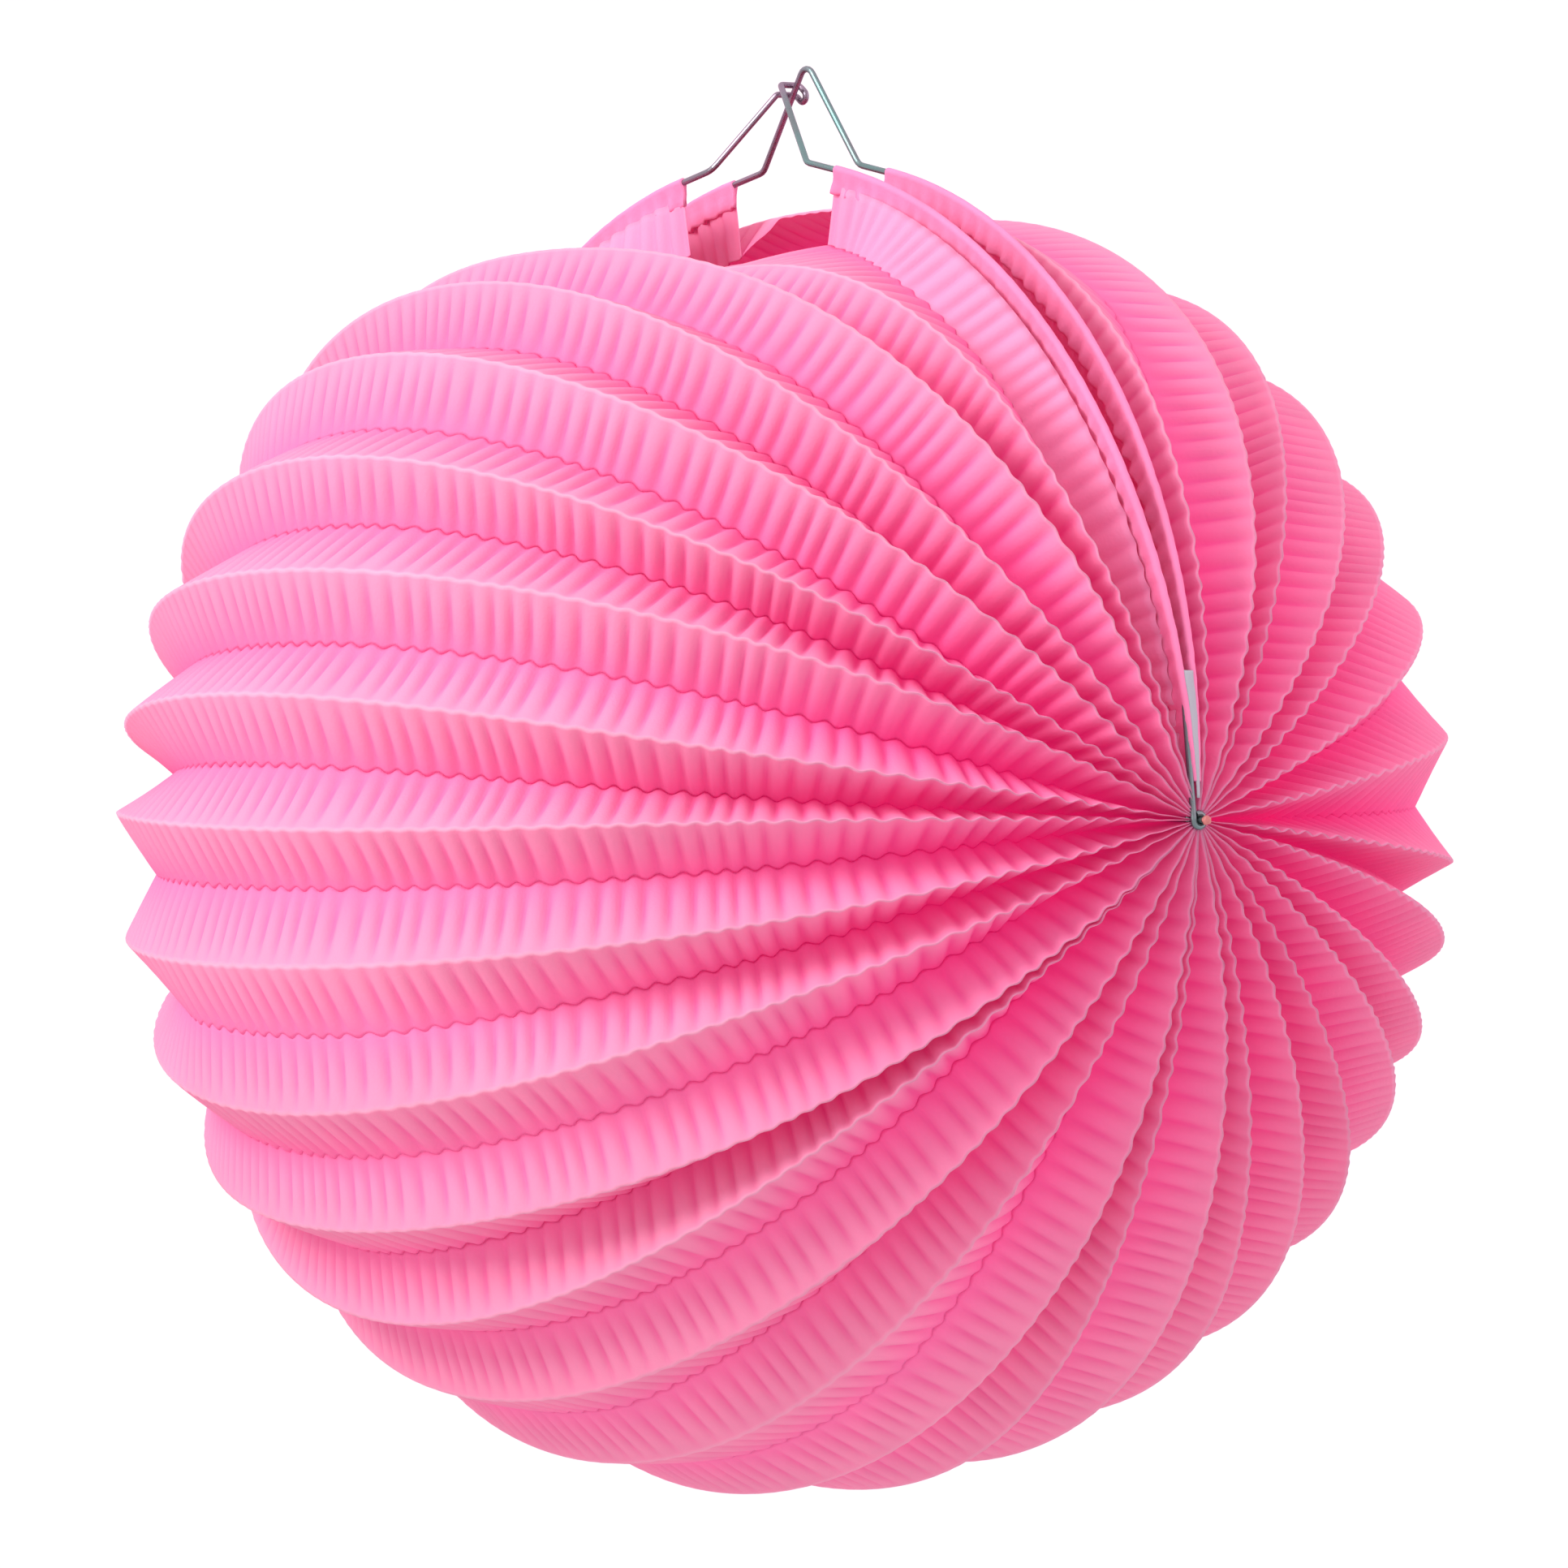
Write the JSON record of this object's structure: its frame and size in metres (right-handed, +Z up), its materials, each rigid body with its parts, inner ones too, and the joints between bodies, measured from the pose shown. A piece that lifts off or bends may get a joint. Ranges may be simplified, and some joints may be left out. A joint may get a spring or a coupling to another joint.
{
  "type": "accordion paper lantern",
  "caption": "Round accordion lantern of crimped paper, closed by two hemmed wire bows that hook together at the top, open at the mouth and folding flat.",
  "frame": {"origin": "hanger point: underside of the rounded top of the eye bow's peak, where a hook or thread bears", "axes": "+X along the pole axis, which is the hinge axis of the bellows; -Y towards the side that opens first; +Z up"},
  "size_m": [0.255, 0.25, 0.2677],
  "materials": {
    "crimped_paper": "matt crimped tissue",
    "hem_paper": "matt, creased, glued double",
    "white_paper": "matt",
    "steel_wire": "drawn, galvanised",
    "glue": "set hot glue"
  },
  "bodies": {
    "eye_bow": {"eye_bow_wire": "steel_wire", "rear_hem_left": "hem_paper", "rear_hem_right": "hem_paper", "rear_end_leaf_left": "crimped_paper", "rear_end_leaf_right": "crimped_paper", "pole_pin_left": "steel_wire", "pole_pin_right": "steel_wire", "pole_glue_dot_left": "glue", "pole_glue_dot_right": "glue", "reinforcement_strip_left": "white_paper", "reinforcement_strip_right": "white_paper"},
    "hook_bow": {"hook_bow_wire": "steel_wire", "front_hem_left": "hem_paper", "front_hem_right": "hem_paper", "front_end_leaf_left": "crimped_paper", "front_end_leaf_right": "crimped_paper"},
    "pleat_01": {"pleat_01": "crimped_paper"},
    "pleat_02": {"pleat_02": "crimped_paper"},
    "pleat_03": {"pleat_03": "crimped_paper"},
    "pleat_04": {"pleat_04": "crimped_paper"},
    "pleat_05": {"pleat_05": "crimped_paper"},
    "pleat_06": {"pleat_06": "crimped_paper"},
    "pleat_07": {"pleat_07": "crimped_paper"},
    "pleat_08": {"pleat_08": "crimped_paper"},
    "pleat_09": {"pleat_09": "crimped_paper"},
    "pleat_10": {"pleat_10": "crimped_paper"},
    "pleat_11": {"pleat_11": "crimped_paper"},
    "pleat_12": {"pleat_12": "crimped_paper"},
    "pleat_13": {"pleat_13": "crimped_paper"},
    "pleat_14": {"pleat_14": "crimped_paper"},
    "pleat_15": {"pleat_15": "crimped_paper"},
    "pleat_16": {"pleat_16": "crimped_paper"},
    "pleat_17": {"pleat_17": "crimped_paper"},
    "pleat_18": {"pleat_18": "crimped_paper"},
    "pleat_19": {"pleat_19": "crimped_paper"},
    "pleat_20": {"pleat_20": "crimped_paper"},
    "pleat_21": {"pleat_21": "crimped_paper"},
    "pleat_22": {"pleat_22": "crimped_paper"},
    "pleat_23": {"pleat_23": "crimped_paper"},
    "pleat_24": {"pleat_24": "crimped_paper"},
    "pleat_25": {"pleat_25": "crimped_paper"},
    "pleat_26": {"pleat_26": "crimped_paper"},
    "pleat_27": {"pleat_27": "crimped_paper"},
    "pleat_28": {"pleat_28": "crimped_paper"},
    "pleat_29": {"pleat_29": "crimped_paper"},
    "pleat_30": {"pleat_30": "crimped_paper"},
    "pleat_31": {"pleat_31": "crimped_paper"}
  },
  "joints": [
    {"name": "fold", "type": "hinge", "parent": "eye_bow", "child": "hook_bow", "pos_m": [0, -0.00499, -0.14155], "axis": [1, 0, 0], "range_deg": [0, 342], "deforming": ["rear_end_leaf_left", "rear_end_leaf_right", "front_end_leaf_left", "front_end_leaf_right"]},
    {"name": "fold_01", "type": "hinge", "parent": "eye_bow", "child": "pleat_01", "pos_m": [0, -0.00499, -0.14155], "axis": [1, 0, 0], "range_deg": [0, 331.81], "deforming": ["pleat_01"]},
    {"name": "fold_02", "type": "hinge", "parent": "eye_bow", "child": "pleat_02", "pos_m": [0, -0.00499, -0.14155], "axis": [1, 0, 0], "range_deg": [0, 321.12], "deforming": ["pleat_02"]},
    {"name": "fold_03", "type": "hinge", "parent": "eye_bow", "child": "pleat_03", "pos_m": [0, -0.00499, -0.14155], "axis": [1, 0, 0], "range_deg": [0, 310.44], "deforming": ["pleat_03"]},
    {"name": "fold_04", "type": "hinge", "parent": "eye_bow", "child": "pleat_04", "pos_m": [0, -0.00499, -0.14155], "axis": [1, 0, 0], "range_deg": [0, 299.75], "deforming": ["pleat_04"]},
    {"name": "fold_05", "type": "hinge", "parent": "eye_bow", "child": "pleat_05", "pos_m": [0, -0.00499, -0.14155], "axis": [1, 0, 0], "range_deg": [0, 289.06], "deforming": ["pleat_05"]},
    {"name": "fold_06", "type": "hinge", "parent": "eye_bow", "child": "pleat_06", "pos_m": [0, -0.00499, -0.14155], "axis": [1, 0, 0], "range_deg": [0, 278.38], "deforming": ["pleat_06"]},
    {"name": "fold_07", "type": "hinge", "parent": "eye_bow", "child": "pleat_07", "pos_m": [0, -0.00499, -0.14155], "axis": [1, 0, 0], "range_deg": [0, 267.69], "deforming": ["pleat_07"]},
    {"name": "fold_08", "type": "hinge", "parent": "eye_bow", "child": "pleat_08", "pos_m": [0, -0.00499, -0.14155], "axis": [1, 0, 0], "range_deg": [0, 257], "deforming": ["pleat_08"]},
    {"name": "fold_09", "type": "hinge", "parent": "eye_bow", "child": "pleat_09", "pos_m": [0, -0.00499, -0.14155], "axis": [1, 0, 0], "range_deg": [0, 246.31], "deforming": ["pleat_09"]},
    {"name": "fold_10", "type": "hinge", "parent": "eye_bow", "child": "pleat_10", "pos_m": [0, -0.00499, -0.14155], "axis": [1, 0, 0], "range_deg": [0, 235.62], "deforming": ["pleat_10"]},
    {"name": "fold_11", "type": "hinge", "parent": "eye_bow", "child": "pleat_11", "pos_m": [0, -0.00499, -0.14155], "axis": [1, 0, 0], "range_deg": [0, 224.94], "deforming": ["pleat_11"]},
    {"name": "fold_12", "type": "hinge", "parent": "eye_bow", "child": "pleat_12", "pos_m": [0, -0.00499, -0.14155], "axis": [1, 0, 0], "range_deg": [0, 214.25], "deforming": ["pleat_12"]},
    {"name": "fold_13", "type": "hinge", "parent": "eye_bow", "child": "pleat_13", "pos_m": [0, -0.00499, -0.14155], "axis": [1, 0, 0], "range_deg": [0, 203.56], "deforming": ["pleat_13"]},
    {"name": "fold_14", "type": "hinge", "parent": "eye_bow", "child": "pleat_14", "pos_m": [0, -0.00499, -0.14155], "axis": [1, 0, 0], "range_deg": [0, 192.88], "deforming": ["pleat_14"]},
    {"name": "fold_15", "type": "hinge", "parent": "eye_bow", "child": "pleat_15", "pos_m": [0, -0.00499, -0.14155], "axis": [1, 0, 0], "range_deg": [0, 182.19], "deforming": ["pleat_15"]},
    {"name": "fold_16", "type": "hinge", "parent": "eye_bow", "child": "pleat_16", "pos_m": [0, -0.00499, -0.14155], "axis": [1, 0, 0], "range_deg": [0, 171.5], "deforming": ["pleat_16"]},
    {"name": "fold_17", "type": "hinge", "parent": "eye_bow", "child": "pleat_17", "pos_m": [0, -0.00499, -0.14155], "axis": [1, 0, 0], "range_deg": [0, 160.81], "deforming": ["pleat_17"]},
    {"name": "fold_18", "type": "hinge", "parent": "eye_bow", "child": "pleat_18", "pos_m": [0, -0.00499, -0.14155], "axis": [1, 0, 0], "range_deg": [0, 150.12], "deforming": ["pleat_18"]},
    {"name": "fold_19", "type": "hinge", "parent": "eye_bow", "child": "pleat_19", "pos_m": [0, -0.00499, -0.14155], "axis": [1, 0, 0], "range_deg": [0, 139.44], "deforming": ["pleat_19"]},
    {"name": "fold_20", "type": "hinge", "parent": "eye_bow", "child": "pleat_20", "pos_m": [0, -0.00499, -0.14155], "axis": [1, 0, 0], "range_deg": [0, 128.75], "deforming": ["pleat_20"]},
    {"name": "fold_21", "type": "hinge", "parent": "eye_bow", "child": "pleat_21", "pos_m": [0, -0.00499, -0.14155], "axis": [1, 0, 0], "range_deg": [0, 118.06], "deforming": ["pleat_21"]},
    {"name": "fold_22", "type": "hinge", "parent": "eye_bow", "child": "pleat_22", "pos_m": [0, -0.00499, -0.14155], "axis": [1, 0, 0], "range_deg": [0, 107.38], "deforming": ["pleat_22"]},
    {"name": "fold_23", "type": "hinge", "parent": "eye_bow", "child": "pleat_23", "pos_m": [0, -0.00499, -0.14155], "axis": [1, 0, 0], "range_deg": [0, 96.69], "deforming": ["pleat_23"]},
    {"name": "fold_24", "type": "hinge", "parent": "eye_bow", "child": "pleat_24", "pos_m": [0, -0.00499, -0.14155], "axis": [1, 0, 0], "range_deg": [0, 86], "deforming": ["pleat_24"]},
    {"name": "fold_25", "type": "hinge", "parent": "eye_bow", "child": "pleat_25", "pos_m": [0, -0.00499, -0.14155], "axis": [1, 0, 0], "range_deg": [0, 75.31], "deforming": ["pleat_25"]},
    {"name": "fold_26", "type": "hinge", "parent": "eye_bow", "child": "pleat_26", "pos_m": [0, -0.00499, -0.14155], "axis": [1, 0, 0], "range_deg": [0, 64.62], "deforming": ["pleat_26"]},
    {"name": "fold_27", "type": "hinge", "parent": "eye_bow", "child": "pleat_27", "pos_m": [0, -0.00499, -0.14155], "axis": [1, 0, 0], "range_deg": [0, 53.94], "deforming": ["pleat_27"]},
    {"name": "fold_28", "type": "hinge", "parent": "eye_bow", "child": "pleat_28", "pos_m": [0, -0.00499, -0.14155], "axis": [1, 0, 0], "range_deg": [0, 43.25], "deforming": ["pleat_28"]},
    {"name": "fold_29", "type": "hinge", "parent": "eye_bow", "child": "pleat_29", "pos_m": [0, -0.00499, -0.14155], "axis": [1, 0, 0], "range_deg": [0, 32.56], "deforming": ["pleat_29"]},
    {"name": "fold_30", "type": "hinge", "parent": "eye_bow", "child": "pleat_30", "pos_m": [0, -0.00499, -0.14155], "axis": [1, 0, 0], "range_deg": [0, 21.88], "deforming": ["pleat_30"]},
    {"name": "fold_31", "type": "hinge", "parent": "eye_bow", "child": "pleat_31", "pos_m": [0, -0.00499, -0.14155], "axis": [1, 0, 0], "range_deg": [0, 11.19], "deforming": ["pleat_31"]}
  ],
  "couplings": [
    {"joint": "fold_01", "follows": "fold", "ratio": 0.96875},
    {"joint": "fold_02", "follows": "fold", "ratio": 0.9375},
    {"joint": "fold_03", "follows": "fold", "ratio": 0.90625},
    {"joint": "fold_04", "follows": "fold", "ratio": 0.875},
    {"joint": "fold_05", "follows": "fold", "ratio": 0.84375},
    {"joint": "fold_06", "follows": "fold", "ratio": 0.8125},
    {"joint": "fold_07", "follows": "fold", "ratio": 0.78125},
    {"joint": "fold_08", "follows": "fold", "ratio": 0.75},
    {"joint": "fold_09", "follows": "fold", "ratio": 0.71875},
    {"joint": "fold_10", "follows": "fold", "ratio": 0.6875},
    {"joint": "fold_11", "follows": "fold", "ratio": 0.65625},
    {"joint": "fold_12", "follows": "fold", "ratio": 0.625},
    {"joint": "fold_13", "follows": "fold", "ratio": 0.59375},
    {"joint": "fold_14", "follows": "fold", "ratio": 0.5625},
    {"joint": "fold_15", "follows": "fold", "ratio": 0.53125},
    {"joint": "fold_16", "follows": "fold", "ratio": 0.5},
    {"joint": "fold_17", "follows": "fold", "ratio": 0.46875},
    {"joint": "fold_18", "follows": "fold", "ratio": 0.4375},
    {"joint": "fold_19", "follows": "fold", "ratio": 0.40625},
    {"joint": "fold_20", "follows": "fold", "ratio": 0.375},
    {"joint": "fold_21", "follows": "fold", "ratio": 0.34375},
    {"joint": "fold_22", "follows": "fold", "ratio": 0.3125},
    {"joint": "fold_23", "follows": "fold", "ratio": 0.28125},
    {"joint": "fold_24", "follows": "fold", "ratio": 0.25},
    {"joint": "fold_25", "follows": "fold", "ratio": 0.21875},
    {"joint": "fold_26", "follows": "fold", "ratio": 0.1875},
    {"joint": "fold_27", "follows": "fold", "ratio": 0.15625},
    {"joint": "fold_28", "follows": "fold", "ratio": 0.125},
    {"joint": "fold_29", "follows": "fold", "ratio": 0.09375},
    {"joint": "fold_30", "follows": "fold", "ratio": 0.0625},
    {"joint": "fold_31", "follows": "fold", "ratio": 0.03125}
  ]
}
